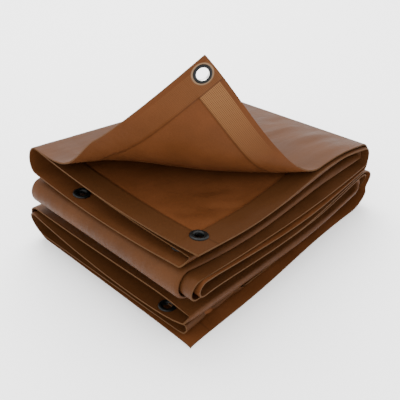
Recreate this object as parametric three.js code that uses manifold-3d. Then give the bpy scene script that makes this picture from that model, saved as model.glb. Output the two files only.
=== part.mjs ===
// Folded tarpaulin: one hemmed sheet of coated cloth, laid in four passes each way, with its
// near top corner curled up and back, and black eyelets pressed through the hems.
// Millimetres, +Z up. X runs along the near right side and Y along the near left side, so the
// near corner is at low X and low Y. The flat sheet is measured by u along X and v along Y.

import * as THREE from "three";
import { mergeVertices } from "three/addons/utils/BufferGeometryUtils.js";
import Module from "manifold-3d";

const wasm = await Module();
wasm.setup();

// Folded size and cloth

const PACK_X = 290;
const PACK_Y = 231;
const CLOTH_THICKNESS = 1.6;
const PATCH_WIDTH = 27;
const SECOND_PATCH_ALONG = 36;
const SECOND_PATCH_ACROSS = 33;
const SEAM_GAP = 0.4;
const EDGE_WAVER = 1.6;

// Lengths that the turns take of the flat sheet

const SIDE_TURN_UPPER = 26;
const SIDE_TURN_ROLL = 34;
const SIDE_TURN_LOWER = 53;
const END_TURN_OUTER = 36;
const END_TURN_NEAR = 10;
const END_TURN_INNER = 20;

// The corner that is curled back

const CURL_HEADING = 37;
const CURL_DISTANCE = 166;
const CURL_RADIUS_LEFT = 88;
const CURL_RADIUS_RIGHT = 11;
const CURL_ANGLE_LEFT = 69;
const CURL_ANGLE_RIGHT = 112;
const CURL_FADE = 99;
const CURL_SPREAD = 300;

// Eyelets

const EYELET_OUTER_RADIUS = 9;
const EYELET_HOLE_RADIUS = 5.9;
const EYELET_BARREL_RADIUS = 7;
const EYELET_FLANGE = 1.5;
const EYELET_SEGMENTS = 28;
const CLEARANCE = 0.78;
const HOLE_RADIUS = EYELET_BARREL_RADIUS + CLEARANCE;
const HOLE_DEPTH = 4.2;

// Heights of each layer's middle surface at its four corners, from the top down. sagLeft is how
// far the middle of the near left side lies below the straight line between its corners, and
// sagRight the same for the near right side, where swing adds a dip before the middle and a rise
// after it. corner is how much the near corner itself drops. Each inset sets the layer back:
// xNear and xLeft from the near left side, at its two ends, yNear and yRight from the near right
// side, at its two ends, and end from the left end.

const LAYER_COLUMNS = [
  "pass", "strip", "near", "left", "right", "far", "sagLeft", "sagRight",
  "swing", "corner", "xNear", "xLeft", "yNear", "yRight", "end",
];
const LAYERS = [
  [1, 1, 110, 124, 93.5, 84, 0, 0, 7, 0, 6, 4, 5, 5, 6],
  [1, 4, 105, 119.5, 89.5, 80, 7, 0, 7, 0, 10, 7, 1, 1, 6],
  [1, 3, 97.5, 112, 86, 76, 7, 1, 5, 0, 10, 15, 10, 10, 6],
  [1, 2, 92.8, 95, 82, 72.5, 7, 2, 4, 0, -2, 0, 12, 12, 6],
  [2, 2, 86.5, 85, 78, 68.5, 3, 6, 2, 0, 6.5, 6, 12, 12, 4],
  [2, 3, 84.2, 82.4, 74, 64.5, 3, 7, 2, 0, 6.5, 6.5, 11, 8, 6],
  [2, 4, 81.9, 79.8, 67, 60.5, 3, 8, 2, 0, 6.5, 7, -4, -2, 6],
  [2, 1, 79.2, 77, 61.5, 56.5, 3, 11, 2, 0, 12, 12, -8, -3, 4],
  [3, 1, 62, 65, 57, 52.5, 0, 9, 0, 0, 12, 12, -8, -3, 4],
  [3, 4, 59.2, 62.4, 51.5, 48, 0, 9, 0, 0, 6.5, 7, -4, -2, 6],
  [3, 3, 56.6, 59.8, 44, 43.5, 0, 10, 0, 0, 6.5, 6.5, 11, 8, 6],
  [3, 2, 54, 57, 40, 39, 0, 11, 0, 0, 6.5, 6, 12, 12, 4],
  [4, 2, 44, 49, 27, 30, 2, 14, 0, 11, 4, -4, 9, 9, 1],
  [4, 3, 22, 43, 18, 24, 7, 7, 0, -4, -3, -8, 9, 9, 1],
  [4, 4, 8, 9, 9, 9, 0, 0, 0, 0, 1, 0, 12, 12, 1],
  [4, 1, 0.8, 0.8, 0.8, 0.8, 0, 0, 0, 0, -2.5, 3, -2.5, 3, 1],
].map((row) => Object.fromEntries(LAYER_COLUMNS.map((name, n) => [name, row[n]])));
const CORNER_SHARE = 0.1;

// Turns at the two sides, between one pass and the next

const SIDE_TURNS = [
  { from: 1, side: "right", base: 1, bulge: 0.58, pinch: 0 },
  { from: 2, side: "left", base: 0, bulge: 0.9, pinch: 0 },
  { from: 3, side: "right", base: 2, bulge: 0.95, pinch: 8.5 },
];
const PINCH_AT = 1.62;
const PINCH_WIDTH = 0.34;
const PINCH_HALF = 28;

// Turns at the two ends of the strips

const END_BASE = 1;
const END_BULGE = 0.62;
const LENS_SKEW = 1.9;

const row = (pass, strip) => LAYERS.find((r) => r.pass === pass && r.strip === strip);
const mix = (a, b, t) => a + (b - a) * t;
const smooth = (t) => {
  const c = Math.min(1, Math.max(0, t));
  return c * c * (3 - 2 * c);
};

function layerHeight(r, s, t) {
  const flat = mix(mix(r.near, r.right, s), mix(r.left, r.far, s), t);
  const sagRight = r.sagRight * 4 * s * (1 - s) + r.swing * Math.sin(2 * Math.PI * s ** 1.3);
  const sagLeft = r.sagLeft * 4 * t * (1 - t) * (1 - s);
  const drop = r.corner * Math.exp(-(s + t) / CORNER_SHARE);
  return flat - sagRight * (1 - t) - sagLeft - drop;
}

function insetX(r, t) {
  return mix(r.xNear, r.xLeft, Math.sqrt(t));
}

// The layer's edge along the near right side

function nearY(r, s) {
  const waver = EDGE_WAVER * Math.sin(7 * s + 1.9 * r.strip + 1.3 * r.pass + 1.5);
  return NEAR_Y + mix(r.yNear, r.yRight, Math.sqrt(s)) + waver;
}

// Across the strips: where a point v of the flat width lies, in one pass, at the fraction s of
// the way from the left side to the right. Gives y, z and the inset from the left side.

const STRIP_ORDER = [
  { kind: "panel", strip: 1, length: PACK_Y, up: true },
  { kind: "end", from: 1, to: 2, length: END_TURN_OUTER },
  { kind: "panel", strip: 2, length: PACK_Y, up: false },
  { kind: "near", from: 2, to: 3, length: END_TURN_NEAR },
  { kind: "panel", strip: 3, length: PACK_Y, up: true },
  { kind: "end", from: 3, to: 4, length: END_TURN_INNER },
  { kind: "panel", strip: 4, length: PACK_Y, up: false },
];
const FLAT_WIDTH = STRIP_ORDER.reduce((sum, part) => sum + part.length, 0);

const PASS_ORDER = [
  { kind: "panel", pass: 1, length: PACK_X, up: true },
  { kind: "turn", turn: 0, length: SIDE_TURN_UPPER },
  { kind: "panel", pass: 2, length: PACK_X, up: false },
  { kind: "turn", turn: 1, length: SIDE_TURN_ROLL },
  { kind: "panel", pass: 3, length: PACK_X, up: true },
  { kind: "turn", turn: 2, length: SIDE_TURN_LOWER },
  { kind: "panel", pass: 4, length: PACK_X, up: false },
];
const FLAT_LENGTH = PASS_ORDER.reduce((sum, part) => sum + part.length, 0);

function locate(order, at) {
  let start = 0;
  for (const part of order) {
    if (at <= start + part.length || part === order[order.length - 1]) {
      return { part, t: Math.min(1, Math.max(0, (at - start) / part.length)) };
    }
    start += part.length;
  }
}

const NEAR_Y = -PACK_Y / 2;
const END_Y = PACK_Y / 2;
const LEFT_X = -PACK_X / 2;
const RIGHT_X = PACK_X / 2;

// The last strip of the lowest pass is tucked: its near edge rolls up and goes back inside

const TUCK_PASS = 4;
const TUCK_STRIP = 4;
const TUCK_SHARE = 0.17;
const TUCK_RETURN = 24;
const TUCK_CLEARANCE = 5.2;
const TUCK_FADE_FROM = 0.08;
const TUCK_FADE_TO = 0.34;

function tucked(s, k) {
  const own = row(TUCK_PASS, TUCK_STRIP);
  const cover = row(TUCK_PASS, 3);
  const first = nearY(own, s);
  const last = END_Y - own.end;
  const kept = 1 - smooth((s - TUCK_FADE_FROM) / (TUCK_FADE_TO - TUCK_FADE_FROM));
  const share = TUCK_SHARE * kept;
  if (k >= share) {
    const inner = (k - share) / (1 - share);
    return { y: mix(first, last, inner), z: layerHeight(own, s, inner), inset: insetX(own, inner) };
  }
  const low = layerHeight(own, s, 0);
  const high = layerHeight(cover, s, 0.06) - TUCK_CLEARANCE;
  const radius = (high - low) / 2;
  const length = (1 - k / share) * (Math.PI * radius + TUCK_RETURN) * kept;
  const angle = Math.min(Math.PI, length / radius);
  const back = Math.max(0, length - Math.PI * radius);
  return {
    y: first - radius * Math.sin(angle) + back,
    z: low + radius * (1 - Math.cos(angle)) - back * 0.06,
    inset: own.xNear + 2 * Math.sin(angle / 2),
  };
}

function across(pass, s, v) {
  const { part, t } = locate(STRIP_ORDER, v);
  if (part.kind === "panel") {
    const r = row(pass, part.strip);
    const k = part.up ? t : 1 - t;
    if (pass === TUCK_PASS && part.strip === TUCK_STRIP) {
      return tucked(s, k);
    }
    const y = mix(nearY(r, s), END_Y - r.end, k);
    return { y, z: layerHeight(r, s, k), inset: insetX(r, k) };
  }
  const a = row(pass, part.from);
  const b = row(pass, part.to);
  const k = part.kind === "end" ? 1 : 0;
  const za = layerHeight(a, s, k);
  const zb = layerHeight(b, s, k);
  const half = (za - zb) / 2;
  const angle = Math.PI * t;
  const blend = (1 - Math.cos(angle)) / 2;
  const reach = (END_BASE + END_BULGE * Math.abs(half)) * Math.sin(angle);
  const ya = k ? END_Y - a.end : nearY(a, s);
  const yb = k ? END_Y - b.end : nearY(b, s);
  const skew = !k && pass === TUCK_PASS ? LENS_SKEW : 1;
  return {
    y: mix(ya, yb, blend) + (k ? reach : -reach),
    z: mix(za, zb, blend ** skew),
    inset: mix(insetX(a, k), insetX(b, k), blend),
  };
}

// The whole sheet: the middle surface at a point u, v of the flat cloth

function folded(u, v) {
  const { part, t } = locate(PASS_ORDER, u);
  if (part.kind === "panel") {
    const s = part.up ? t : 1 - t;
    const c = across(part.pass, s, v);
    const x = mix(LEFT_X + c.inset, RIGHT_X, s);
    const p = new THREE.Vector3(x, c.y, c.z);
    return part.pass === 1 ? curl(p, u, v) : p;
  }
  const turn = SIDE_TURNS[part.turn];
  const right = turn.side === "right";
  const s = right ? 1 : 0;
  const above = across(turn.from, s, v);
  const below = across(turn.from + 1, s, v);
  const half = (above.z - below.z) / 2;
  const angle = Math.PI * t;
  const blend = (1 - Math.cos(angle)) / 2;
  const nip = turn.pinch * Math.exp(-(((angle - PINCH_AT) / PINCH_WIDTH) ** 2)) *
    (half / PINCH_HALF) ** 2;
  const reach = (turn.base + turn.bulge * Math.abs(half)) * Math.sin(angle) - nip;
  const edge = right ? RIGHT_X : LEFT_X + mix(above.inset, below.inset, blend);
  return new THREE.Vector3(
    edge + (right ? reach : -reach),
    mix(above.y, below.y, blend),
    (above.z + below.z) / 2 + half * Math.cos(angle),
  );
}

// The near corner of the top strip, rolled up and back about a line across the corner

function curl(p, u, v) {
  if (v > PACK_Y) {
    return p;
  }
  const heading = (CURL_HEADING * Math.PI) / 180;
  const nx = Math.cos(heading);
  const ny = Math.sin(heading);
  const a = p.x - LEFT_X;
  const b = p.y - NEAR_Y;
  const fade = smooth((PACK_Y - v) / CURL_FADE);
  const back = (CURL_DISTANCE - (a * nx + b * ny)) * fade;
  if (back <= 0) {
    return p;
  }
  const along = Math.min(1, Math.max(0, 0.5 + (a * ny - b * nx) / CURL_SPREAD));
  const radius = mix(CURL_RADIUS_LEFT, CURL_RADIUS_RIGHT, along);
  const full = (mix(CURL_ANGLE_LEFT, CURL_ANGLE_RIGHT, along) * Math.PI) / 180;
  const angle = Math.min(full, back / radius);
  const straight = Math.max(0, back - radius * full);
  const forward = radius * Math.sin(angle) + straight * Math.cos(full);
  const lift = radius * (1 - Math.cos(angle)) + straight * Math.sin(full);
  return new THREE.Vector3(
    p.x + nx * (back - forward),
    p.y + ny * (back - forward),
    p.z + lift,
  );
}

function surfaceNormal(u, v) {
  const step = 0.5;
  const u0 = Math.max(0, u - step);
  const u1 = Math.min(FLAT_LENGTH, u + step);
  const v0 = Math.max(0, v - step);
  const v1 = Math.min(FLAT_WIDTH, v + step);
  const du = folded(u1, v).sub(folded(u0, v));
  const dv = folded(u, v1).sub(folded(u, v0));
  return du.cross(dv).normalize();
}


// A solid of the cloth's thickness over the kept cells of a grid of the flat sheet

function clothSolid(us, vs, kept) {
  const columns = vs.length;
  const middle = [];
  const offset = [];
  for (const u of us) {
    for (const v of vs) {
      middle.push(folded(u, v));
      offset.push(surfaceNormal(u, v).multiplyScalar(CLOTH_THICKNESS / 2));
    }
  }
  const positions = [];
  const corner = (i, j, side) => {
    const n = i * columns + j;
    return middle[n].clone().addScaledVector(offset[n], side);
  };
  const quad = (a, b, c, d) => {
    const shortDiagonal = a.distanceToSquared(c) <= b.distanceToSquared(d);
    const order = shortDiagonal ? [a, b, c, a, c, d] : [a, b, d, b, c, d];
    order.forEach((p) => positions.push(p.x, p.y, p.z));
  };
  const has = (i, j) =>
    i >= 0 && j >= 0 && i < us.length - 1 && j < vs.length - 1 && kept(i, j);
  for (let i = 0; i < us.length - 1; i++) {
    for (let j = 0; j < vs.length - 1; j++) {
      if (!has(i, j)) {
        continue;
      }
      const ring = [
        [i, j],
        [i + 1, j],
        [i + 1, j + 1],
        [i, j + 1],
      ];
      const upper = ring.map(([m, n]) => corner(m, n, 1));
      const lower = ring.map(([m, n]) => corner(m, n, -1));
      quad(...upper);
      quad(lower[3], lower[2], lower[1], lower[0]);
      const beside = [has(i, j - 1), has(i + 1, j), has(i, j + 1), has(i - 1, j)];
      beside.forEach((joined, k) => {
        const n = (k + 1) % 4;
        if (!joined) {
          quad(lower[k], lower[n], upper[n], upper[k]);
        }
      });
    }
  }
  return solidFrom(positions);
}

function solidFrom(positions) {
  const raw = new THREE.BufferGeometry();
  raw.setAttribute("position", new THREE.Float32BufferAttribute(positions, 3));
  const merged = mergeVertices(raw, 1e-3);
  return new wasm.Manifold(
    new wasm.Mesh({
      numProp: 3,
      vertProperties: merged.attributes.position.array,
      triVerts: new Uint32Array(merged.index.array),
    }),
  );
}

function geometryFrom(solid) {
  const mesh = solid.getMesh();
  const geometry = new THREE.BufferGeometry();
  geometry.setAttribute("position", new THREE.BufferAttribute(mesh.vertProperties, 3));
  geometry.setIndex(new THREE.BufferAttribute(mesh.triVerts, 1));
  geometry.computeVertexNormals();
  return geometry;
}

// Stations along a strip of parts, with the number of steps that each part takes

function stations(order, steps, extra) {
  const list = [0];
  let start = 0;
  order.forEach((part, n) => {
    for (let k = 1; k <= steps[n]; k++) {
      list.push(start + (part.length * k) / steps[n]);
    }
    start += part.length;
  });
  const near = (a) => extra.some((b) => Math.abs(a - b) < 4);
  return [...list.filter((a) => !near(a)), ...extra].sort((a, b) => a - b);
}

// Eyelets: where each one sits on the flat sheet, and how far it is lifted off the true curve to
// sit on the flat facets. The two corner ones are in patches.

const TOP_CORNER = { u: 12, v: 12 };
const SECOND_CORNER = { u: 25, v: FLAT_WIDTH - 22 };
const stripPoint = (strip, k) => {
  const at = STRIP_ORDER.findIndex((part) => part.strip === strip);
  const start = STRIP_ORDER.slice(0, at).reduce((sum, part) => sum + part.length, 0);
  return start + PACK_Y * (STRIP_ORDER[at].up ? k : 1 - k);
};

const EYELETS = [
  { name: "eyelet_top_corner", node: "corner_patch_top", ...TOP_CORNER, lift: 0 },
  { name: "eyelet_second_corner", node: "corner_patch_second", ...SECOND_CORNER, lift: 0 },
  { name: "eyelet_hem_left", node: "tarp_sheet", u: 18, v: stripPoint(2, 0.727), lift: -0.1 },
  { name: "eyelet_hem_near", node: "tarp_sheet", u: 21, v: stripPoint(2, 0.09), lift: 0 },
  {
    name: "eyelet_hem_lower",
    node: "tarp_sheet",
    u: FLAT_LENGTH - 14,
    v: stripPoint(3, 0.13),
    lift: -0.62,
  },
];

function eyeletFrame(eyelet) {
  const group = new THREE.Object3D();
  const normal = surfaceNormal(eyelet.u, eyelet.v);
  group.position.copy(folded(eyelet.u, eyelet.v)).addScaledVector(normal, eyelet.lift);
  group.quaternion.setFromUnitVectors(new THREE.Vector3(0, 0, 1), normal);
  group.updateMatrixWorld(true);
  return group;
}

function eyeletGeometry() {
  const inner = CLOTH_THICKNESS / 2 + CLEARANCE;
  const outer = inner + EYELET_FLANGE;
  const lip = EYELET_OUTER_RADIUS - 0.6;
  const throat = EYELET_HOLE_RADIUS + 0.7;
  const profile = [
    [EYELET_BARREL_RADIUS, -inner],
    [EYELET_BARREL_RADIUS, inner],
    [EYELET_OUTER_RADIUS, inner],
    [EYELET_OUTER_RADIUS, inner + 0.6],
    [lip, outer],
    [throat, outer],
    [EYELET_HOLE_RADIUS, outer - 0.7],
    [EYELET_HOLE_RADIUS, -outer + 0.7],
    [throat, -outer],
    [lip, -outer],
    [EYELET_OUTER_RADIUS, -inner - 0.6],
    [EYELET_OUTER_RADIUS, -inner],
    [EYELET_BARREL_RADIUS, -inner],
  ];
  const points = profile.map(([x, y]) => new THREE.Vector2(x, y));
  const geometry = new THREE.LatheGeometry(points, EYELET_SEGMENTS);
  geometry.rotateX(Math.PI / 2);
  return geometry;
}

function withHoles(solid, node) {
  let cut = solid;
  for (const eyelet of EYELETS.filter((e) => e.node === node)) {
    const tool = new THREE.CylinderGeometry(HOLE_RADIUS, HOLE_RADIUS, HOLE_DEPTH, EYELET_SEGMENTS);
    tool.rotateX(Math.PI / 2);
    tool.applyMatrix4(eyeletFrame(eyelet).matrixWorld);
    const soup = tool.toNonIndexed().getAttribute("position").array;
    cut = cut.subtract(solidFrom(Array.from(soup)));
  }
  return cut;
}

// Grid of the main sheet, with the two corner patches left out of it

const PASS_STEPS = [17, 6, 5, 6, 5, 8, 6];
const STRIP_STEPS = [12, 6, 5, 4, 5, 5, 5];
const TUCK_STATIONS = [39.2, 27, 22, 17, 8.5];
const LOWER_STATION = stripPoint(3, 0.075);
const PATCH_STEPS = 5;
const patches = [
  { name: "corner_patch_top", along: PATCH_WIDTH, first: 0, last: PATCH_WIDTH },
  {
    name: "corner_patch_second",
    along: SECOND_PATCH_ALONG,
    first: FLAT_WIDTH - SECOND_PATCH_ACROSS,
    last: FLAT_WIDTH,
  },
];
const [topPatch, secondPatch] = patches;
const seams = {
  topU: topPatch.along + SEAM_GAP,
  secondU: secondPatch.along + SEAM_GAP,
  topV: topPatch.last + SEAM_GAP,
  secondV: secondPatch.first - SEAM_GAP,
};
const sheetU = stations(PASS_ORDER, PASS_STEPS, [seams.topU, seams.secondU]);
const sheetV = stations(STRIP_ORDER, STRIP_STEPS, [
  seams.topV,
  seams.secondV,
  ...TUCK_STATIONS.map((back) => FLAT_WIDTH - back),
  LOWER_STATION,
]);
const inPatch = (i, j) => {
  const u = (sheetU[i] + sheetU[i + 1]) / 2;
  const v = (sheetV[j] + sheetV[j + 1]) / 2;
  return (u < seams.topU && v < seams.topV) || (u < seams.secondU && v > seams.secondV);
};
const patchLine = (first, last) =>
  Array.from({ length: PATCH_STEPS + 1 }, (_, k) => mix(first, last, k / PATCH_STEPS));

const solids = { tarp_sheet: clothSolid(sheetU, sheetV, (i, j) => !inPatch(i, j)) };
for (const patch of patches) {
  solids[patch.name] = clothSolid(
    patchLine(0, patch.along),
    patchLine(patch.first, patch.last),
    () => true,
  );
}

// Materials and scene graph

const coatedCloth = { color: 0x6f421f, roughness: 0.5, metalness: 0 };
const hemCloth = { color: 0x7d4c25, roughness: 0.55, metalness: 0 };
const blackEyelet = { color: 0x15181a, roughness: 0.35, metalness: 0.4 };

const tarp = new THREE.Group();
for (const [name, solid] of Object.entries(solids)) {
  const look = name === "tarp_sheet" ? coatedCloth : hemCloth;
  const mesh = new THREE.Mesh(
    geometryFrom(withHoles(solid, name)),
    new THREE.MeshStandardMaterial({ ...look }),
  );
  mesh.name = name;
  tarp.add(mesh);
}
for (const eyelet of EYELETS) {
  const ring = new THREE.Mesh(
    eyeletGeometry(),
    new THREE.MeshStandardMaterial({ ...blackEyelet }),
  );
  const frame = eyeletFrame(eyelet);
  ring.position.copy(frame.position);
  ring.quaternion.copy(frame.quaternion);
  ring.name = eyelet.name;
  tarp.add(ring);
}


// The origin lies under the middle of the pack's own box

const box = new THREE.Box3().setFromObject(tarp);
const middle = box.getCenter(new THREE.Vector3());
tarp.position.set(-middle.x, -middle.y, -box.min.z);

export default tarp;
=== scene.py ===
"""Folded tarpaulin: one hemmed sheet of coated cloth in four passes each way, with its near
corner curled up and back, and black eyelets pressed through the hems."""

import math
from collections import namedtuple

import bmesh
import bpy
from mathutils import Matrix, Vector


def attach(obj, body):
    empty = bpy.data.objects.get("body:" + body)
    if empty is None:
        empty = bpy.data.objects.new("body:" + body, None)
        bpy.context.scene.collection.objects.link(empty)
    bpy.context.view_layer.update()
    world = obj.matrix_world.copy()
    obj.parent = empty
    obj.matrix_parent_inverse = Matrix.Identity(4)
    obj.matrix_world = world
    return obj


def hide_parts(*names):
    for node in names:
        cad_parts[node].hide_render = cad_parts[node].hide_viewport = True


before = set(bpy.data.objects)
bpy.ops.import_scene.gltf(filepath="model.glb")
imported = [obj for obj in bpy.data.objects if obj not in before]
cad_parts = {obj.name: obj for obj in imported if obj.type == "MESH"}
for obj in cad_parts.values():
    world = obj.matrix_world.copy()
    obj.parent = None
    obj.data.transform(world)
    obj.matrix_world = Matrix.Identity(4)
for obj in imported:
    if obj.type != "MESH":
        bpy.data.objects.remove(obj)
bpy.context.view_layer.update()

bl_info = {
    "name": "Folded tarpaulin",
    "version": (1, 0, 0),
    "blender": (4, 5, 0),
    "location": "3D View > Sidebar > Tarpaulin",
    "description": "Builds a folded sheet of coated cloth with hems and eyelets",
    "category": "Add Mesh",
}

MM = 0.001

# How the sheet is folded. Lengths are millimetres. X runs along the near right side and Y
# along the near left side, both from the near corner. The flat sheet is measured by u along X
# and v along Y. It goes back and forth four times along X, in passes, and across those four
# times along Y, in strips.

# Heights of each layer's middle surface at its four corners, from the top down. sag_left is how
# far the middle of the near left side lies below the straight line between its corners, and
# sag_right the same for the near right side, where swing adds a dip before the middle and a
# rise after it. corner is how much the near corner itself drops. Each inset sets the layer back:
# x_near and x_left from the near left side, at its two ends, y_near and y_right from the near
# right side, at its two ends, and end from the left end.

Layer = namedtuple(
    "Layer",
    "run strip near left right far sag_left sag_right swing corner "
    "x_near x_left y_near y_right end",
)
LAYERS = [
    Layer(1, 1, 110, 124, 93.5, 84, 0, 0, 7, 0, 6, 4, 5, 5, 6),
    Layer(1, 4, 105, 119.5, 89.5, 80, 7, 0, 7, 0, 10, 7, 1, 1, 6),
    Layer(1, 3, 97.5, 112, 86, 76, 7, 1, 5, 0, 10, 15, 10, 10, 6),
    Layer(1, 2, 92.8, 95, 82, 72.5, 7, 2, 4, 0, -2, 0, 12, 12, 6),
    Layer(2, 2, 86.5, 85, 78, 68.5, 3, 6, 2, 0, 6.5, 6, 12, 12, 4),
    Layer(2, 3, 84.2, 82.4, 74, 64.5, 3, 7, 2, 0, 6.5, 6.5, 11, 8, 6),
    Layer(2, 4, 81.9, 79.8, 67, 60.5, 3, 8, 2, 0, 6.5, 7, -4, -2, 6),
    Layer(2, 1, 79.2, 77, 61.5, 56.5, 3, 11, 2, 0, 12, 12, -8, -3, 4),
    Layer(3, 1, 62, 65, 57, 52.5, 0, 9, 0, 0, 12, 12, -8, -3, 4),
    Layer(3, 4, 59.2, 62.4, 51.5, 48, 0, 9, 0, 0, 6.5, 7, -4, -2, 6),
    Layer(3, 3, 56.6, 59.8, 44, 43.5, 0, 10, 0, 0, 6.5, 6.5, 11, 8, 6),
    Layer(3, 2, 54, 57, 40, 39, 0, 11, 0, 0, 6.5, 6, 12, 12, 4),
    Layer(4, 2, 44, 49, 27, 30, 2, 14, 0, 11, 4, -4, 9, 9, 1),
    Layer(4, 3, 22, 43, 18, 24, 7, 7, 0, -4, -3, -8, 9, 9, 1),
    Layer(4, 4, 8, 9, 9, 9, 0, 0, 0, 0, 1, 0, 12, 12, 1),
    Layer(4, 1, 0.8, 0.8, 0.8, 0.8, 0, 0, 0, 0, -2.5, 3, -2.5, 3, 1),
]
CORNER_SHARE = 0.1
SWING_POWER = 1.3
LAYER_AT = {(row.run, row.strip): row for row in LAYERS}

# The order in which the flat sheet meets each panel and turn. length is how much of the flat
# sheet it takes, and cells how finely it is divided.

Stretch = namedtuple("Stretch", "kind name other rising length cells")
PACK_X = 290.0
PACK_Y = 231.0
RUN_ORDER = [
    Stretch("panel", 1, None, True, PACK_X, 96),
    Stretch("turn", 0, None, None, 26.0, 14),
    Stretch("panel", 2, None, False, PACK_X, 20),
    Stretch("turn", 1, None, None, 34.0, 20),
    Stretch("panel", 3, None, True, PACK_X, 20),
    Stretch("turn", 2, None, None, 53.0, 22),
    Stretch("panel", 4, None, False, PACK_X, 40),
]
STRIP_ORDER = [
    Stretch("panel", 1, None, True, PACK_Y, 76),
    Stretch("end", 1, 2, None, 36.0, 12),
    Stretch("panel", 2, None, False, PACK_Y, 22),
    Stretch("near", 2, 3, None, 10.0, 8),
    Stretch("panel", 3, None, True, PACK_Y, 20),
    Stretch("end", 3, 4, None, 20.0, 10),
    Stretch("panel", 4, None, False, PACK_Y, 44),
]
FLAT_LENGTH = sum(part.length for part in RUN_ORDER)
FLAT_WIDTH = sum(part.length for part in STRIP_ORDER)

# Turns at the two sides: the pass above each, and how far it bulges past the fold line, by a
# base and by a share of half its height. The lowest is pinched in at one angle of its way round,
# and the less so the lower it is there. Turns at the left and near ends bulge in the same way,
# and the near ones of the lowest pass are skewed to lie closer under their upper layer.

SideTurn = namedtuple("SideTurn", "upper side base bulge pinch")
SIDE_TURNS = [
    SideTurn(1, "right", 1.0, 0.58, 0.0),
    SideTurn(2, "left", 0.0, 0.9, 0.0),
    SideTurn(3, "right", 2.0, 0.95, 8.5),
]
PINCH_AT, PINCH_WIDTH, PINCH_HALF = 1.62, 0.34, 28.0
END_BASE, END_BULGE, LENS_SKEW = 1.0, 0.62, 1.9

LEFT_X, RIGHT_X = -PACK_X / 2, PACK_X / 2
NEAR_Y, END_Y = -PACK_Y / 2, PACK_Y / 2

# From the folds' own middle to the part's origin.

PACK_SHIFT = Vector((-8.402, -3.623, 0.0))

# Along the near right side every layer's edge wavers: by how much, how fast along the side, and
# how far the wave is moved on for each strip, for each pass and in all.

WAVER, WAVER_ALONG = 1.6, 7
WAVER_STRIP, WAVER_RUN, WAVER_START = 1.9, 1.3, 1.5

# The last strip of the lowest pass is tucked: its near edge rolls up and goes back inside. It
# stays clear of the strip above, whose height is taken a little way in, falls as it goes back,
# and is set back a little from the left side.

TUCK_RUN, TUCK_STRIP, TUCK_COVER = 4, 4, 3
TUCK_SHARE, TUCK_RETURN, TUCK_CLEARANCE = 0.17, 24.0, 5.2
TUCK_FADE_FROM, TUCK_FADE_TO = 0.08, 0.34
TUCK_WAY_IN, TUCK_FALL, TUCK_SET_BACK = 0.06, 0.06, 2

# The near corner of the top strip curls up and back about a line across the corner.

CURL_HEADING, CURL_DISTANCE, CURL_FADE, CURL_SPREAD = 37.0, 166.0, 99.0, 300.0
CURL_RADIUS_LEFT, CURL_RADIUS_RIGHT = 88.0, 11.0
CURL_ANGLE_LEFT, CURL_ANGLE_RIGHT = 69.0, 112.0

# Where each eyelet goes through the flat sheet, with the CAD node that it stands for.


def strip_point(strip, share):
    """Flat width v of the point at a share of the way from a strip's near side to its end."""
    start = 0.0
    for part in STRIP_ORDER:
        if part.kind == "panel" and part.name == strip:
            return start + part.length * (share if part.rising else 1 - share)
        start += part.length
    raise ValueError(f"no strip {strip}")


Eyelet = namedtuple("Eyelet", "piece node u v bright")
EYELETS = [
    Eyelet("ring_top_corner", "eyelet_top_corner", 12.0, 12.0, True),
    Eyelet("ring_second_corner", "eyelet_second_corner", 25.0, FLAT_WIDTH - 22.0, False),
    Eyelet("ring_hem_left", "eyelet_hem_left", 15.0, strip_point(2, 0.727), False),
    Eyelet("ring_hem_near", "eyelet_hem_near", 23.5, strip_point(2, 0.09), False),
    Eyelet("ring_hem_lower", "eyelet_hem_lower", FLAT_LENGTH - 11.5, strip_point(3, 0.13), False),
]


# Main creases: a line on the flat sheet, how far the middle of the trough or ridge stands out of
# the plain face, and its half width. At its ends a crease keeps a share of its height, and past a
# few half widths it has gone.

Crease = namedtuple("Crease", "u0 v0 u1 v1 out width")
CREASES = [
    Crease(206, 97, 268, 88, 0.9, 6.0),
    Crease(214, 82, 262, 76, -0.6, 6.5),
    Crease(224, 60, 280, 50, 0.9, 5.5),
    Crease(232, 43, 276, 36, -0.7, 6.0),
    Crease(196, 118, 236, 130, 0.7, 8.0),
    Crease(248, 120, 284, 108, -0.6, 7.0),
    Crease(190, 24, 262, 14, 0.6, 6.0),
    Crease(30, 176, 20, 226, 0.8, 8.0),
    Crease(48, 186, 44, 228, -0.6, 7.0),
    Crease(62, 158, 98, 196, 0.6, 9.0),
    Crease(38, FLAT_WIDTH - 66, 60, FLAT_WIDTH - 50, 2.1, 5.6),
    Crease(66, FLAT_WIDTH - 56, 92, FLAT_WIDTH - 36, 1.8, 5.2),
    Crease(84, FLAT_WIDTH - 78, 116, FLAT_WIDTH - 62, 2.1, 6.0),
    Crease(84, FLAT_WIDTH - 45, 104, FLAT_WIDTH - 38, -1.1, 4.5),
    Crease(46, FLAT_WIDTH - 40, 66, FLAT_WIDTH - 34, -1.1, 5.0),
    Crease(118, FLAT_WIDTH - 52, 150, FLAT_WIDTH - 34, 0.6, 8.0),
    Crease(60, 60, 96, 28, 0.5, 8.0),
    Crease(88, 96, 118, 62, -0.5, 9.0),
    Crease(20, 100, 60, 112, 0.4, 8.0),
]
CREASE_END_SHARE, CREASE_REACH = 0.45, 3


def crease_out(u, v):
    """How far the creases move the cloth at this place of the flat sheet."""
    out = 0.0
    for c in CREASES:
        du, dv = c.u1 - c.u0, c.v1 - c.v0
        share = ((u - c.u0) * du + (v - c.v0) * dv) / (du * du + dv * dv)
        share = min(1.0, max(0.0, share))
        gap = math.hypot(u - c.u0 - share * du, v - c.v0 - share * dv) / c.width
        if gap < CREASE_REACH:
            height = mix(CREASE_END_SHARE, 1, math.sin(math.pi * share))
            out += c.out * math.exp(-gap * gap) * height
    return out


def mix(a, b, t):
    """The number at the share t of the way from a to b."""
    return a + (b - a) * t


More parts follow.
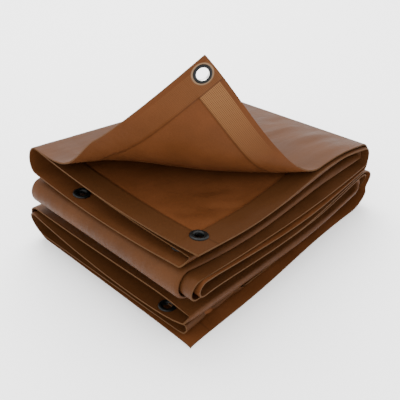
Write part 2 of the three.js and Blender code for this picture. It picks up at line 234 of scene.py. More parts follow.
def smooth(t):
    """A share from 0 to 1 that starts and ends gently."""
    c = min(1.0, max(0.0, t))
    return c * c * (3 - 2 * c)


def layer_height(row, s, t):
    """Height of a layer at the shares s along X and t along Y."""
    flat = mix(mix(row.near, row.right, s), mix(row.left, row.far, s), t)
    swing = row.swing * math.sin(2 * math.pi * s**SWING_POWER)
    sag_right = row.sag_right * 4 * s * (1 - s) + swing
    sag_left = row.sag_left * 4 * t * (1 - t) * (1 - s)
    drop = row.corner * math.exp(-(s + t) / CORNER_SHARE)
    return flat - sag_right * (1 - t) - sag_left - drop


def inset_x(row, t):
    """How far the layer is set back from the near left side, at the share t along Y."""
    return mix(row.x_near, row.x_left, math.sqrt(t))


def near_y(row, s):
    """The layer's edge along the near right side."""
    turned = WAVER_ALONG * s + WAVER_STRIP * row.strip + WAVER_RUN * row.run + WAVER_START
    waver = WAVER * math.sin(turned)
    return NEAR_Y + mix(row.y_near, row.y_right, math.sqrt(s)) + waver


def locate(order, at):
    """The panel or turn that a flat length falls in, and its share of the way through it."""
    start = 0.0
    for part in order:
        if at <= start + part.length or part is order[-1]:
            return part, min(1.0, max(0.0, (at - start) / part.length))
        start += part.length


def tucked(s, k):
    """y, z and inset of the tucked strip at the shares s along X and k along Y."""
    own = LAYER_AT[TUCK_RUN, TUCK_STRIP]
    cover = LAYER_AT[TUCK_RUN, TUCK_COVER]
    first = near_y(own, s)
    last = END_Y - own.end
    kept = 1 - smooth((s - TUCK_FADE_FROM) / (TUCK_FADE_TO - TUCK_FADE_FROM))
    share = TUCK_SHARE * kept
    if k >= share:
        inner = (k - share) / (1 - share)
        return mix(first, last, inner), layer_height(own, s, inner), inset_x(own, inner)
    low = layer_height(own, s, 0)
    high = layer_height(cover, s, TUCK_WAY_IN) - TUCK_CLEARANCE
    radius = (high - low) / 2
    length = (1 - k / share) * (math.pi * radius + TUCK_RETURN) * kept
    angle = min(math.pi, length / radius)
    back = max(0.0, length - math.pi * radius)
    return (
        first - radius * math.sin(angle) + back,
        low + radius * (1 - math.cos(angle)) - back * TUCK_FALL,
        own.x_near + TUCK_SET_BACK * math.sin(angle / 2),
    )


def across(run, s, v):
    """y, z and inset of the flat width v in one pass, at the share s from left to right."""
    part, t = locate(STRIP_ORDER, v)
    if part.kind == "panel":
        row = LAYER_AT[run, part.name]
        k = t if part.rising else 1 - t
        if (run, part.name) == (TUCK_RUN, TUCK_STRIP):
            return tucked(s, k)
        return mix(near_y(row, s), END_Y - row.end, k), layer_height(row, s, k), inset_x(row, k)
    a = LAYER_AT[run, part.name]
    b = LAYER_AT[run, part.other]
    at_end = part.kind == "end"
    k = 1 if at_end else 0
    za = layer_height(a, s, k)
    zb = layer_height(b, s, k)
    half = (za - zb) / 2
    angle = math.pi * t
    blend = (1 - math.cos(angle)) / 2
    reach = (END_BASE + END_BULGE * abs(half)) * math.sin(angle)
    if at_end:
        ya = END_Y - a.end
        yb = END_Y - b.end
    else:
        ya = near_y(a, s)
        yb = near_y(b, s)
    skew = LENS_SKEW if not at_end and run == TUCK_RUN else 1.0
    return (
        mix(ya, yb, blend) + (reach if at_end else -reach),
        mix(za, zb, blend**skew),
        mix(inset_x(a, k), inset_x(b, k), blend),
    )


def curled(point, v):
    """The point of the top strip after its near corner is rolled up and back."""
    nx = math.cos(math.radians(CURL_HEADING))
    ny = math.sin(math.radians(CURL_HEADING))
    a = point.x - LEFT_X
    b = point.y - NEAR_Y
    back = (CURL_DISTANCE - (a * nx + b * ny)) * smooth((PACK_Y - v) / CURL_FADE)
    if v > PACK_Y or back <= 0:
        return point
    along = min(1.0, max(0.0, 0.5 + (a * ny - b * nx) / CURL_SPREAD))
    radius = mix(CURL_RADIUS_LEFT, CURL_RADIUS_RIGHT, along)
    full = math.radians(mix(CURL_ANGLE_LEFT, CURL_ANGLE_RIGHT, along))
    angle = min(full, back / radius)
    straight = max(0.0, back - radius * full)
    forward = radius * math.sin(angle) + straight * math.cos(full)
    lift = radius * (1 - math.cos(angle)) + straight * math.sin(full)
    return point + Vector((nx * (back - forward), ny * (back - forward), lift))


def folded(u, v):
    """The cloth's middle surface at a point of the flat sheet."""
    part, t = locate(RUN_ORDER, u)
    if part.kind == "panel":
        s = t if part.rising else 1 - t
        y, z, inset = across(part.name, s, v)
        point = Vector((mix(LEFT_X + inset, RIGHT_X, s), y, z))
        return curled(point, v) if part.name == 1 else point
    turn = SIDE_TURNS[part.name]
    right = turn.side == "right"
    s = 1.0 if right else 0.0
    ya, za, inset_a = across(turn.upper, s, v)
    yb, zb, inset_b = across(turn.upper + 1, s, v)
    half = (za - zb) / 2
    angle = math.pi * t
    blend = (1 - math.cos(angle)) / 2
    nip = turn.pinch * math.exp(-(((angle - PINCH_AT) / PINCH_WIDTH) ** 2))
    nip *= (half / PINCH_HALF) ** 2
    reach = (turn.base + turn.bulge * abs(half)) * math.sin(angle) - nip
    edge = RIGHT_X if right else LEFT_X + mix(inset_a, inset_b, blend)
    return Vector(
        (
            edge + (reach if right else -reach),
            mix(ya, yb, blend),
            (za + zb) / 2 + half * math.cos(angle),
        )
    )


def face_normal(u, v):
    """The direction out of the plain face at a point of the flat sheet."""
    step = 0.5
    u0, u1 = max(0.0, u - step), min(FLAT_LENGTH, u + step)
    v0, v1 = max(0.0, v - step), min(FLAT_WIDTH, v + step)
    along = folded(u1, v) - folded(u0, v)
    over = folded(u, v1) - folded(u, v0)
    return along.cross(over).normalized()


def stations(order, extra):
    """Places along the flat sheet where it is divided. An extra one takes the place of those
    within 0.7 mm of it."""
    nearest = 0.7
    places = [0.0]
    start = 0.0
    for part in order:
        step = part.length / part.cells
        places += [start + step * k for k in range(1, part.cells + 1)]
        start += part.length
    kept = [a for a in places if all(abs(a - b) > nearest for b in extra)]
    return sorted(kept + list(extra))


def piece_from(bm, name, materials):
    """A finished object in the scene from a bmesh whose lengths are millimetres."""
    bmesh.ops.scale(bm, vec=(MM, MM, MM), verts=bm.verts)
    mesh = bpy.data.meshes.new(name)
    bm.to_mesh(mesh)
    bm.free()
    for material in materials:
        mesh.materials.append(material)
    piece = bpy.data.objects.new(name, mesh)
    bpy.context.scene.collection.objects.link(piece)
    return piece


# Colours and materials


def linear(hex_colour):
    """sRGB hex to the linear colour that Blender's sockets take."""
    value = hex_colour.lstrip("#")
    channels = []
    for k in (0, 2, 4):
        part = int(value[k : k + 2], 16) / 255
        channels.append(part / 12.92 if part <= 0.04045 else ((part + 0.055) / 1.055) ** 2.4)
    return (*channels, 1.0)


MATH, RANGE, MIX, NOISE = (
    "ShaderNodeMath",
    "ShaderNodeMapRange",
    "ShaderNodeMix",
    "ShaderNodeTexNoise",
)
SHADER = "ShaderNodeBsdfPrincipled"


def add(tree, kind, *values, out=0, **settings):
    """An output of a new node of a material. The values fill its inputs in order, or by key
    where they come as a dict, and a socket among them is linked."""
    node = tree.nodes.new(kind)
    for key, value in settings.items():
        setattr(node, key, value)
    inputs = values[0] if values and isinstance(values[0], dict) else dict(enumerate(values))
    for key, value in inputs.items():
        if isinstance(value, bpy.types.NodeSocket):
            tree.links.new(value, node.inputs[key])
        else:
            node.inputs[key].default_value = value
    return node.outputs[out] if node.outputs else None


def new_material(name):
    """A material with an empty tree of nodes, and the tree."""
    material = bpy.data.materials.new(name)
    material.use_nodes = True
    material.node_tree.nodes.clear()
    return material, material.node_tree


# Sizes of the cloth's patterns: the scale of each noise in features per millimetre, the pitches
# of the weave and of the open mesh in millimetres, and where a thread's wave starts and ends.
# Real threads lie little more than a millimetre apart, which is too fine to show, so both
# pitches are coarser.

PATCH_SCALE = 0.022
DENT_SCALE = 0.055
DENT_STRETCH = (0.35, 1.0, 1.0)
SPECK_SCALE = 0.2
GRAIN_SCALE = 0.7
WEAVE_PITCH = 1.8
MESH_PITCH = 1.6
THREAD_LOW, THREAD_HIGH = -0.2, 0.9

# How much of the cloth's light and dark comes from its grain and from its patches.

GRAIN_SHARE, PATCH_SHARE = 0.45, 0.55

# Heights of the patterns in millimetres.

SPECK_HEIGHT = 0.22
GRAIN_HEIGHT = 0.09
DENT_HEIGHT = 1.5
WEAVE_HEIGHT = 0.03
MESH_HEIGHT = 0.14

# The hems' bands have a soft side. They are darker cloth, and painted shade deepens them along v,
# least on the flap and most on the strips under it.

SOFT = 0.3
BAND_LEAST, BAND_FROM, BAND_TO = 0.12, 60.0, 700.0

# Where the painted sheen on the hem's mesh is full and where it has gone, along the one hem and
# along the other.

MESH_FULL, MESH_GONE = 40.0, 128.0
FAINT_FULL, FAINT_GONE, FAINT_SHARE = 20.0, 90.0, 0.22

# The weld line: how dark it is, how far from its middle it is full and gone, and how far past
# the hem's side its middle lies.

WELD_SHARE, WELD_FULL, WELD_GONE, WELD_PAST = 0.34, 0.2, 1.0, 0.2

# The pale ring's outer side, and where the fading of it begins.

HALO_GONE, HALO_FULL = 10.6, 9.6


def hem_bands_and_shade(tree, hem, v, in_u, in_v):
    """Share of the hems' darker colour: a band along every edge, deepened along v by painted
    shade, least on the flap.
    """
    u_band = add(tree, RANGE, in_u, hem + SOFT, hem - SOFT)
    v_band = add(tree, RANGE, in_v, hem + SOFT, hem - SOFT)
    band = add(tree, MATH, u_band, v_band, operation="MAXIMUM")
    down = add(tree, RANGE, v, BAND_FROM, BAND_TO)
    band_shade = add(tree, MATH, band, down, operation="MULTIPLY")
    return add(tree, MATH, band, BAND_LEAST, band_shade, operation="MULTIPLY_ADD")


def mesh_sheen_and_threads(tree, hem, lip, u, v):
    """Share of the open mesh's painted sheen, strong on the one hem between its lip and its inner
    side and faint on the other, and its raised threads. The same share places the threads' relief."""
    past_lip = (lip - SOFT, lip + SOFT)
    strong = add(tree, RANGE, u, MESH_GONE, MESH_FULL)
    for place, *limits in ((u, hem, hem + 1.0), (v, hem + SOFT, hem - SOFT), (v, *past_lip)):
        within = add(tree, RANGE, place, *limits)
        strong = add(tree, MATH, strong, within, operation="MULTIPLY")
    faint = add(tree, RANGE, v, FAINT_GONE, FAINT_FULL)
    for place, *limits in ((u, hem, hem - 2 * SOFT), (u, *past_lip)):
        within = add(tree, RANGE, place, *limits)
        faint = add(tree, MATH, faint, within, operation="MULTIPLY")
    faint = add(tree, MATH, faint, FAINT_SHARE, operation="MULTIPLY")
    threads = []
    for place in (u, v):
        turned = add(tree, MATH, place, 2 * math.pi / MESH_PITCH, operation="MULTIPLY")
        wave = add(tree, MATH, turned, operation="SINE")
        threads.append(add(tree, RANGE, wave, THREAD_LOW, THREAD_HIGH))
    sheen_and_relief = add(tree, MATH, strong, faint, operation="MAXIMUM")
    return sheen_and_relief, add(tree, MATH, *threads, operation="MAXIMUM")


def weld_lines(tree, hem, in_u, in_v):
    """Share of the weld line along each hem's inner side. The u hem runs over the v hem's line."""
    lines = []
    for place in (in_u, in_v):
        off = add(tree, MATH, place, hem + WELD_PAST, operation="SUBTRACT")
        off = add(tree, MATH, off, operation="ABSOLUTE")
        lines.append(add(tree, RANGE, off, WELD_GONE, WELD_FULL))
    past_u_hem = add(tree, RANGE, in_u, hem - 0.5, hem + 0.5)
    lines[1] = add(tree, MATH, lines[1], past_u_hem, operation="MULTIPLY")
    line = add(tree, MATH, *lines, operation="MAXIMUM")
    return add(tree, MATH, line, WELD_SHARE, operation="MULTIPLY")


def pale_eyelet_ring(tree, eyelet, u, v):
    """Share of the paler ring round an eyelet."""
    off_u = add(tree, MATH, u, eyelet.u, operation="SUBTRACT")
    off_v = add(tree, MATH, v, eyelet.v, operation="SUBTRACT")
    squares = add(tree, MATH, off_v, off_v, operation="MULTIPLY")
    squares = add(tree, MATH, off_u, off_u, squares, operation="MULTIPLY_ADD")
    gap = add(tree, MATH, squares, operation="SQRT")
    return add(tree, RANGE, gap, HALO_GONE, HALO_FULL)


def hemmed_face(tree, sizes, colours, u, v, colour, height):
    """The colour and height of the hemmed face, drawn over those of plain cloth."""
    hem = sizes.hem_width / MM
    from_u = add(tree, MATH, FLAT_LENGTH, u, operation="SUBTRACT")
    from_v = add(tree, MATH, FLAT_WIDTH, v, operation="SUBTRACT")
    in_u = add(tree, MATH, u, from_u, operation="MINIMUM")
    in_v = add(tree, MATH, v, from_v, operation="MINIMUM")
    sheen_and_relief, mesh = mesh_sheen_and_threads(tree, hem, sizes.hem_lip / MM, u, v)
    # The threads' colours are lighter than the cloth: painted sheen.
    parts = {0: mesh, 6: linear(colours.mesh_sheen_between), 7: linear(colours.mesh_sheen_threads)}
    threads = add(tree, MIX, parts, out=2, data_type="RGBA")
    # Drawn in turn: the hem bands with their painted shade, the mesh's painted sheen, the weld
    # line and the pale ring.
    drawn = (
        (hem_bands_and_shade(tree, hem, v, in_u, in_v), linear(colours.hem_plain)),
        (sheen_and_relief, threads),
        (weld_lines(tree, hem, in_u, in_v), linear(colours.weld)),
        (pale_eyelet_ring(tree, EYELETS[0], u, v), linear(colours.halo)),
    )
    for share, over in drawn:
        parts = {0: share, 6: colour, 7: over}
        colour = add(tree, MIX, parts, out=2, data_type="RGBA")
    raised = add(tree, MATH, mesh, sheen_and_relief, operation="MULTIPLY")
    return colour, add(tree, MATH, raised, MESH_HEIGHT, height, operation="MULTIPLY_ADD")


def coated_cloth(sizes, colours, name, hemmed):
    """Polyester cloth coated with soft PVC and calendered: a satin skin over a faint weave, a
    little uneven in gloss, with soft dents from being folded. On its hemmed face the welded
    hems are darker bands with a dark weld line at their inner side, deepened by painted shade
    farther from the flap. One hem's mesh of threads is drawn lighter beside the top corner,
    fading away from it: painted sheen. The cloth is paler in a ring round the top eyelet."""
    material, tree = new_material(name)
    flat_sheet = add(tree, "ShaderNodeUVMap", uv_map="flat_sheet")
    scaling = {0: flat_sheet, 3: 1 / MM}
    place = add(tree, "ShaderNodeVectorMath", scaling, operation="SCALE")
    u = add(tree, "ShaderNodeSeparateXYZ", place)
    v = add(tree, "ShaderNodeSeparateXYZ", place, out=1)
    streaks = add(tree, "ShaderNodeVectorMath", place, DENT_STRETCH, operation="MULTIPLY")

    # Uneven dye and gloss in patches, long dents, specks and a fine grain.
    patches = add(tree, NOISE, {"Vector": place, "Scale": PATCH_SCALE, "Detail": 3.0})
    dents = add(tree, NOISE, {"Vector": streaks, "Scale": DENT_SCALE, "Detail": 2.0})
    specks = add(tree, NOISE, {"Vector": place, "Scale": SPECK_SCALE, "Detail": 2.0})
    grain = add(tree, NOISE, {"Vector": place, "Scale": GRAIN_SCALE, "Detail": 3.0})
    fine = add(tree, RANGE, grain, 0.3, 0.7)
    coarse = add(tree, RANGE, patches, 0.36, 0.64)
    tone = add(tree, MATH, fine, GRAIN_SHARE, operation="MULTIPLY")
    tone = add(tree, MATH, coarse, PATCH_SHARE, tone, operation="MULTIPLY_ADD")
    # The plain face is the same cloth as the hemmed face, painted darker: painted shade.
    light = linear(colours.cloth_light if hemmed else colours.shaded_top_light)
    dark = linear(colours.cloth_dark if hemmed else colours.shaded_top_dark)
    colour = add(tree, MIX, {0: tone, 6: dark, 7: light}, out=2, data_type="RGBA")
    height = add(tree, MATH, specks, SPECK_HEIGHT, operation="MULTIPLY")
    height = add(tree, MATH, grain, GRAIN_HEIGHT, height, operation="MULTIPLY_ADD")
    height = add(tree, MATH, dents, DENT_HEIGHT, height, operation="MULTIPLY_ADD")

    # Weave of the base cloth under the coating.
    waves = []
    for along in (u, v):
        turned = add(tree, MATH, along, 2 * math.pi / WEAVE_PITCH, operation="MULTIPLY")
        waves.append(add(tree, MATH, turned, operation="SINE"))
    weave = add(tree, MATH, *waves, operation="MULTIPLY")
    height = add(tree, MATH, weave, WEAVE_HEIGHT, height, operation="MULTIPLY_ADD")
    if hemmed:
        colour, height = hemmed_face(tree, sizes, colours, u, v, colour, height)
    bumps = {"Height": height, "Distance": MM, "Strength": 0.7}
    look = {
        "Base Color": colour,
        "Roughness": add(tree, RANGE, patches, 0.3, 0.7, sizes.rough_low, sizes.rough_high),
        "Normal": add(tree, "ShaderNodeBump", bumps),
        "IOR": 1.5,
        "Specular IOR Level": 0.07,
        "Specular Tint": (1.0, 0.86, 0.72, 1.0),
    }
    add(tree, "ShaderNodeOutputMaterial", add(tree, SHADER, look))
    return material


def cut_edge_highlight(colours):
    """The knife-cut edge of coated cloth, painted paler than the faces as a painted highlight
    along every edge, a little frayed in colour along its length."""
    material, tree = new_material("cut_cloth_edge_painted_highlight")
    place = add(tree, "ShaderNodeTexCoord", out="Object")
    threads = add(tree, NOISE, {"Vector": place, "Scale": 420.0, "Detail": 2.0})
    parts = {0: threads, 6: linear(colours.edge_highlight_dark), 7: linear(colours.edge_highlight_light)}
    colour = add(tree, MIX, parts, out=2, data_type="RGBA")
    look = {"Base Color": colour, "Roughness": 0.7, "Specular IOR Level": 0.04}
    add(tree, "ShaderNodeOutputMaterial", add(tree, SHADER, look))
    return material


def painted_metal(colours):
    """Stamped brass under black lacquer: glossy on the rolled rim, with fine draw marks
    and a worn dusting that dulls it in places."""
    material, tree = new_material("black_lacquered_brass")
    place = add(tree, "ShaderNodeTexCoord", out="Object")
    wear = add(tree, NOISE, {"Vector": place, "Scale": 900.0, "Detail": 3.0})
    parts = {0: wear, 6: linear(colours.eyelet_dark), 7: linear(colours.eyelet_light)}
    look = {
        "Base Color": add(tree, MIX, parts, out=2, data_type="RGBA"),
        "Roughness": add(tree, RANGE, wear, 0.3, 0.7, 0.22, 0.42),
        "IOR": 1.5,
        "Specular IOR Level": 0.16,
    }
    add(tree, "ShaderNodeOutputMaterial", add(tree, SHADER, look))
    return material


def bright_metal(colours):
    """Nickel-plated barrel of the eyelet, drawn to a smooth bright bore with faint rings."""
    material, tree = new_material("nickel_plated_barrel")
    place = add(tree, "ShaderNodeTexCoord", out="Object")
    rings = add(tree, NOISE, {"Vector": place, "Scale": 700.0, "Detail": 2.0})
    look = {
        "Base Color": linear(colours.barrel),
        "Roughness": add(tree, RANGE, rings, 0.3, 0.7, 0.16, 0.3),
        "Metallic": 1.0,
    }
    add(tree, "ShaderNodeOutputMaterial", add(tree, SHADER, look))
    return material


class TarpSizes(bpy.types.PropertyGroup):
    cloth_top: bpy.props.FloatProperty(
        name="Cloth, plain face",
        description="From the cloth's middle to its plain face",
        default=0.00055,
        unit="LENGTH",
    )
    cloth_under: bpy.props.FloatProperty(
        name="Cloth, hemmed face",
        description="From the cloth's middle to its hemmed face, off the hems",
        default=0.00035,
        unit="LENGTH",
    )
    hem_width: bpy.props.FloatProperty(
        name="Hem width",
        description="Width of the welded hem",
        default=0.0275,
        unit="LENGTH",
    )
    hem_relief: bpy.props.FloatProperty(
        name="Hem relief",
        description="Height of the hem's step",
        default=0.00065,
        unit="LENGTH",
    )
    hem_lip: bpy.props.FloatProperty(
        name="Hem lip",
        description="Plain lip at the hem's outer side",
        default=0.0048,
        unit="LENGTH",
    )
    eyelet_radius: bpy.props.FloatProperty(
        name="Eyelet radius",
        description="Outer radius of the flange",
        default=0.009,
        unit="LENGTH",
    )
    eyelet_hole: bpy.props.FloatProperty(
        name="Eyelet hole radius",
        description="Radius of the bore",
        default=0.0060,
        unit="LENGTH",
    )
    pressed_hole: bpy.props.FloatProperty(
        name="Pressed hole radius",
        description="Radius of the bore where a flange is pressed in over another",
        default=0.0044,
        unit="LENGTH",
    )
    rough_low: bpy.props.FloatProperty(
        name="Roughness, smooth patches",
        description="Gloss of the coating",
        default=0.40,
        min=0,
        max=1,
    )
    rough_high: bpy.props.FloatProperty(
        name="Roughness, dull patches",
        description="Gloss of the coating",
        default=0.56,
        min=0,
        max=1,
    )


class TarpColours(bpy.types.PropertyGroup):
    cloth_light: bpy.props.StringProperty(
        name="Hemmed face, light", description="sRGB hex", default="#532f18"
    )
    cloth_dark: bpy.props.StringProperty(
        name="Hemmed face, dark", description="sRGB hex", default="#452611"
    )
    # The plain face's colours are the same cloth painted darker than the hemmed face's: painted
    # shade.
    shaded_top_light: bpy.props.StringProperty(
        name="Plain face, light", description="sRGB hex", default="#442814"
    )
    shaded_top_dark: bpy.props.StringProperty(
        name="Plain face, dark", description="sRGB hex", default="#361e0d"
    )
    # The hems' darker colour; its share grows along v as painted shade.
    hem_plain: bpy.props.StringProperty(name="Hem", description="sRGB hex", default="#3a210f")
    # The mesh's colours are lighter than the cloth near the top corner: painted sheen.
    mesh_sheen_threads: bpy.props.StringProperty(
        name="Mesh, threads",
        description="sRGB hex",
        default="#6c4b2e",
    )
    mesh_sheen_between: bpy.props.StringProperty(
        name="Mesh, between",
        description="sRGB hex",
        default="#4c2f19",
    )
    weld: bpy.props.StringProperty(name="Weld line", description="sRGB hex", default="#1b0d07")
    # A paler colour in a ring round the top eyelet.
    halo: bpy.props.StringProperty(
        name="Pale ring",
        description="sRGB hex",
        default="#6f5a46",
    )
    # The cut edge's colours are paler than the faces: painted highlight along the edges.
    edge_highlight_light: bpy.props.StringProperty(
        name="Cut edge, light",
        description="sRGB hex",
        default="#4a321e",
    )
    edge_highlight_dark: bpy.props.StringProperty(
        name="Cut edge, dark",
        description="sRGB hex",
        default="#3a2514",
    )
    eyelet_light: bpy.props.StringProperty(
        name="Lacquer, dusty",
        description="sRGB hex",
        default="#0e1010",
    )
    eyelet_dark: bpy.props.StringProperty(
        name="Lacquer",
        description="sRGB hex",
        default="#050606",
    )
    barrel: bpy.props.StringProperty(name="Barrel", description="sRGB hex", default="#c9c7c2")


# Division lines of the sheet beside its hems, what a hem on a hem adds, and the eyelet holes:
# their radius, how far inside it faces go, and how far outside it vertices move onto it.

CUT_LINE, STEP_HALF, HEM_ON_HEM = 1.2, 0.35, 0.25
HOLE_RADIUS, HOLE_INSIDE, HOLE_OUTSIDE = 7.2, 0.6, 2.5


class TARP_OT_sheet(bpy.types.Operator):
    """The whole sheet of cloth, folded, with its hems"""

    bl_idname = "tarp.sheet"
    bl_label = "Folded sheet"

    def execute(self, context):
        sizes = context.scene.tarp_sizes
        colours = context.scene.tarp_colours
        hem = sizes.hem_width / MM
        lines = (CUT_LINE, sizes.hem_lip / MM, hem - STEP_HALF, hem + STEP_HALF)
        us = stations(RUN_ORDER, [*lines, *(FLAT_LENGTH - a for a in lines)])
        vs = stations(STRIP_ORDER, [*lines, *(FLAT_WIDTH - a for a in lines)])
        bm = bmesh.new()
        bmesh.ops.create_grid(bm, x_segments=len(us) - 1, y_segments=len(vs) - 1, size=1.0)
        for vert in bm.verts:
            i = round((vert.co.x + 1) / 2 * (len(us) - 1))
            j = round((vert.co.y + 1) / 2 * (len(vs) - 1))
            vert.co = (us[i], vs[j], 0.0)
        self.punch(bm)
        flat_faces = list(bm.faces)
        for face in flat_faces:
            face.smooth = True
        bmesh.ops.solidify(bm, geom=flat_faces, thickness=1.0)
        bmesh.ops.recalc_face_normals(bm, faces=bm.faces)
        uv = bm.loops.layers.uv.new("flat_sheet")
        low = min(vert.co.z for vert in bm.verts)
        middle = low + 0.5
        for face in bm.faces:
            top = sum(vert.co.z > middle for vert in face.verts)
            face.material_index = 0 if top == len(face.verts) else 1 if top == 0 else 2
            for loop in face.loops:
                loop[uv].uv = (loop.vert.co.x * MM, loop.vert.co.y * MM)
        for edge in bm.edges:
            kinds = {face.material_index for face in edge.link_faces}
            edge.smooth = len(kinds) == 1
        for vert in bm.verts:
            u, v, z = vert.co
            normal = face_normal(u, v)
            out = sizes.cloth_top / MM if z > middle else -self.under(sizes, u, v)
            vert.co = folded(u, v) + normal * (out + crease_out(u, v)) + PACK_SHIFT
        piece = piece_from(
            bm,
            "tarpaulin",
            [
                coated_cloth(sizes, colours, "coated_cloth_plain_face", False),
                coated_cloth(sizes, colours, "coated_cloth_hemmed_face", True),
                cut_edge_highlight(colours),
            ],
        )
        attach(piece, "root")
        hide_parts("tarp_sheet", "corner_patch_top", "corner_patch_second")
        return {"FINISHED"}

    def punch(self, bm):
        """Cuts the eyelet holes out of the flat grid and rounds them."""
        for eyelet in EYELETS:
            centre = Vector((eyelet.u, eyelet.v, 0.0))
            inside = []
            for face in bm.faces:
                if (face.calc_center_median() - centre).length < HOLE_RADIUS - HOLE_INSIDE:
                    inside.append(face)
            bmesh.ops.delete(bm, geom=inside, context="FACES")
            for vert in bm.verts:
                away = vert.co - centre
                if vert.is_boundary and away.length < HOLE_RADIUS + HOLE_OUTSIDE:
                    vert.co = centre + away.normalized() * HOLE_RADIUS

    def under(self, sizes, u, v):
        """How far the hemmed face lies from the middle: cloth, then hem, then hem on hem."""
        in_u = min(u, FLAT_LENGTH - u)
        in_v = min(v, FLAT_WIDTH - v)
        hem = sizes.hem_width / MM
        out = sizes.cloth_under / MM
        if min(in_u, in_v) < hem:
            out += sizes.hem_relief / MM
        if in_u < hem and in_v < hem:
            out += HEM_ON_HEM
        return out


# Section of an eyelet, measured from the cloth's middle: the flat backs of its two flanges, the
# rolled rims' height and stand off, the barrel's radius and the wall of the bore.

BACK_LOW, BACK_HIGH = -1.3, 0.6
ROLL_HEIGHT, ROLL_OFF, ROLL_SHIFT, ROLL_STEPS = 1.35, 0.25, 0.1, 8
RIM_LAP = 0.02
BARREL_RADIUS = 7.0
WALL_THICK, WALL_PAST = 0.35, 0.7
SPIN_STEPS = 64
SHARP_ANGLE = 0.7


class TARP_OT_eyelets(bpy.types.Operator):
    """The eyelets pressed through the hems"""

    bl_idname = "tarp.eyelets"
    bl_label = "Eyelets"

    def execute(self, context):
        sizes = context.scene.tarp_sizes
        colours = context.scene.tarp_colours
        lacquer = painted_metal(colours)
        plated = bright_metal(colours)
        for eyelet in EYELETS:
            bm = self.ring(sizes, sizes.eyelet_hole if eyelet.bright else sizes.pressed_hole)
            normal = face_normal(eyelet.u, eyelet.v)
            turn = Vector((0, 0, 1)).rotation_difference(normal).to_matrix().to_4x4()
            place = Matrix.Translation(folded(eyelet.u, eyelet.v) + PACK_SHIFT) @ turn
            bmesh.ops.transform(bm, matrix=place, verts=bm.verts)
            piece = piece_from(bm, eyelet.piece, [lacquer, plated if eyelet.bright else lacquer])
            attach(piece, "root")
            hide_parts(eyelet.node)
        return {"FINISHED"}

    def ring(self, sizes, hole):
        """A barrel with a rolled flange on each face, spun about the bore."""
        outer = sizes.eyelet_radius / MM
        bore = hole / MM
        crest = (outer + bore) / 2 + ROLL_SHIFT
        half = (outer - bore) / 2
        profile = []
        for start, back in ((0, BACK_HIGH + ROLL_OFF), (1, BACK_LOW - ROLL_OFF)):
            for k in range(ROLL_STEPS + 1):
                angle = math.pi * (start + k / ROLL_STEPS)
                radius = crest + half * math.cos(angle)
                profile.append((radius, back + ROLL_HEIGHT * math.sin(angle)))
        profile.append((outer + RIM_LAP, BACK_LOW))
        profile.append((BARREL_RADIUS, BACK_LOW))
        profile.append((BARREL_RADIUS, BACK_HIGH))
        profile.append((outer + RIM_LAP, BACK_HIGH))
        bm = bmesh.new()
        verts = [bm.verts.new((r, 0.0, z)) for r, z in profile]
        edges = [bm.edges.new((a, b)) for a, b in zip(verts, verts[1:] + verts[:1])]
        bmesh.ops.spin(
            bm,
            geom=verts + edges,
            cent=(0, 0, 0),
            axis=(0, 0, 1),
            angle=2 * math.pi,
            steps=SPIN_STEPS,
            use_merge=True,
        )
        bmesh.ops.remove_doubles(bm, verts=bm.verts, dist=0.001)
        bmesh.ops.recalc_face_normals(bm, faces=bm.faces)
        for face in bm.faces:
            face.smooth = True
            centre = face.calc_center_median()
            radius = math.hypot(centre.x, centre.y)
            inside = BACK_LOW - WALL_PAST < centre.z < BACK_HIGH + WALL_PAST
            face.material_index = 1 if inside and radius < bore + WALL_THICK else 0
        for edge in bm.edges:
            if len(edge.link_faces) == 2 and edge.calc_face_angle(0.0) > SHARP_ANGLE:
                edge.smooth = False
        return bm


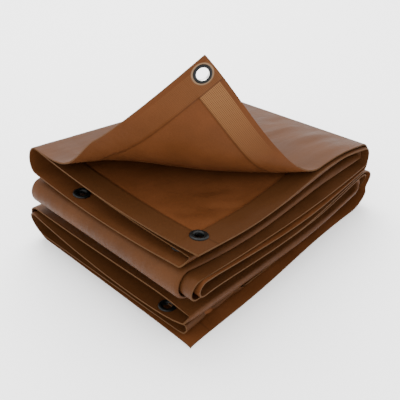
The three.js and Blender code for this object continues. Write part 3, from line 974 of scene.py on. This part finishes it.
class TARP_OT_stage(bpy.types.Operator):
    """The pale floor, the soft lights and the camera"""

    bl_idname = "tarp.stage"
    bl_label = "Stage"

    def execute(self, context):
        bm = bmesh.new()
        bmesh.ops.create_grid(bm, x_segments=1, y_segments=1, size=6000.0)
        material, tree = new_material("matt_paper_floor")
        look = {"Base Color": linear("#fafafa"), "Roughness": 0.9, "Specular IOR Level": 0.2}
        add(tree, "ShaderNodeOutputMaterial", add(tree, SHADER, look))
        floor = piece_from(bm, "paper_floor", [material])

        world = bpy.data.worlds.new("pale_studio")
        world.use_nodes = True
        background = world.node_tree.nodes["Background"]
        background.inputs["Color"].default_value = (1.0, 1.0, 1.0, 1.0)
        background.inputs["Strength"].default_value = 2.8
        context.scene.world = world

        self.lamp("overhead_softbox", (0.55, 0.75, 1.5), (0.0, 0.0, 0.08), 1.6, 48.0)
        self.lamp("left_softbox", (-1.5, -0.2, 1.1), (0.0, 0.0, 0.1), 1.0, 9.0)

        camera = bpy.data.cameras.new("photo_camera")
        camera.lens = 55.7
        camera.sensor_width = 36.0
        camera.clip_end = 50.0
        stand = bpy.data.objects.new("photo_camera", camera)
        stand.location = (-0.4385, -0.3941, 0.4483)
        stand.rotation_euler = (math.radians(54.78), 0.0, math.radians(-47.23))
        context.scene.collection.objects.link(stand)
        context.scene.camera = stand
        return {"FINISHED"}

    def lamp(self, name, place, aim, size, power):
        """A square soft light that points at a place."""
        lamp = bpy.data.lights.new(name, "AREA")
        lamp.shape = "SQUARE"
        lamp.size = size
        lamp.energy = power
        stand = bpy.data.objects.new(name, lamp)
        stand.location = place
        way = Vector(aim) - Vector(place)
        stand.rotation_euler = way.to_track_quat("-Z", "Y").to_euler()
        bpy.context.scene.collection.objects.link(stand)


class TARP_PT_panel(bpy.types.Panel):
    bl_idname = "TARP_PT_panel"
    bl_label = "Folded tarpaulin"
    bl_space_type = "VIEW_3D"
    bl_region_type = "UI"
    bl_category = "Tarpaulin"

    def draw(self, context):
        column = self.layout.column()
        for group in (context.scene.tarp_sizes, context.scene.tarp_colours):
            for key in group.__annotations__:
                column.prop(group, key)
        for operator in OPERATORS:
            column.operator(operator.bl_idname)


GROUPS = (TarpSizes, TarpColours)
OPERATORS = (TARP_OT_stage, TARP_OT_sheet, TARP_OT_eyelets)


def register():
    for cls in (*GROUPS, *OPERATORS, TARP_PT_panel):
        bpy.utils.register_class(cls)
    bpy.types.Scene.tarp_sizes = bpy.props.PointerProperty(type=TarpSizes)
    bpy.types.Scene.tarp_colours = bpy.props.PointerProperty(type=TarpColours)


def unregister():
    del bpy.types.Scene.tarp_colours
    del bpy.types.Scene.tarp_sizes
    for cls in (TARP_PT_panel, *reversed(OPERATORS), *reversed(GROUPS)):
        bpy.utils.unregister_class(cls)


def main():
    register()
    bpy.ops.tarp.stage()
    bpy.ops.tarp.sheet()
    bpy.ops.tarp.eyelets()


if __name__ == "__main__":
    main()
